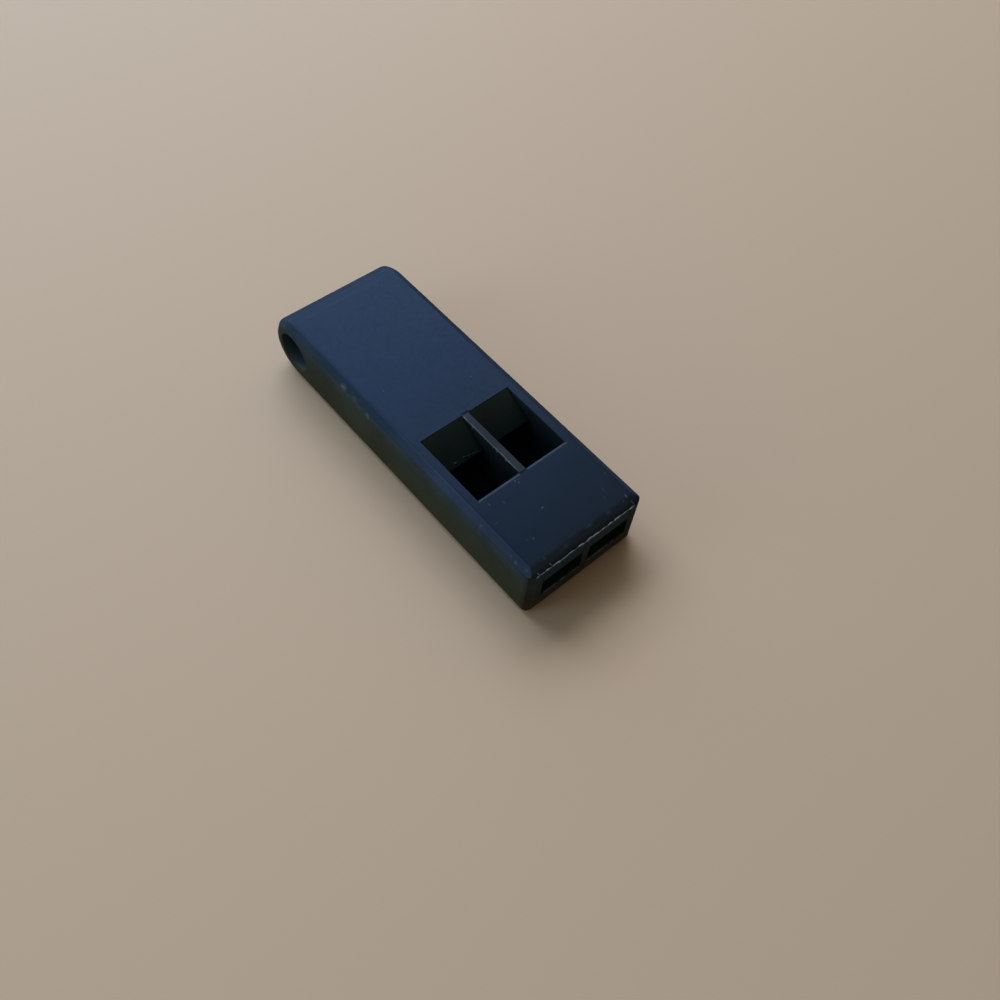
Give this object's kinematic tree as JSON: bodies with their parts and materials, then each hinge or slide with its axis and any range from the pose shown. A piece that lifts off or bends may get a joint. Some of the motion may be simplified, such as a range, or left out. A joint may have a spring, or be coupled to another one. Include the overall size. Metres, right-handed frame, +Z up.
{
  "type": "emergency whistle",
  "caption": "Flat black emergency whistle without a ball: side-by-side chambers and windows, mouth slots in front and a half-round end with a lanyard eye.",
  "frame": {"origin": "on the underside, below the middle of the whistle", "axes": "+X along the length towards the mouth, +Z up through the windows, and the player's left is -Y"},
  "size_m": [0.057, 0.02, 0.01],
  "materials": {
    "shell_plastic": "matte black plastic with faint layer lines",
    "cover_plastic": "matte black plastic, fine pebbled face with dust and hairline scuffs",
    "partition_plastic": "matte black plastic, greyed and rougher along its crest",
    "inner_plastic": "matte black plastic, rough"
  },
  "bodies": {
    "root": {"body_shell": "shell_plastic", "top_cover": "cover_plastic", "centre_partition": "partition_plastic", "left_windway_block": "inner_plastic", "right_windway_block": "inner_plastic", "left_labium_blade": "inner_plastic", "right_labium_blade": "inner_plastic", "left_pitch_plug": "inner_plastic", "right_pitch_plug": "inner_plastic"}
  },
  "joints": []
}
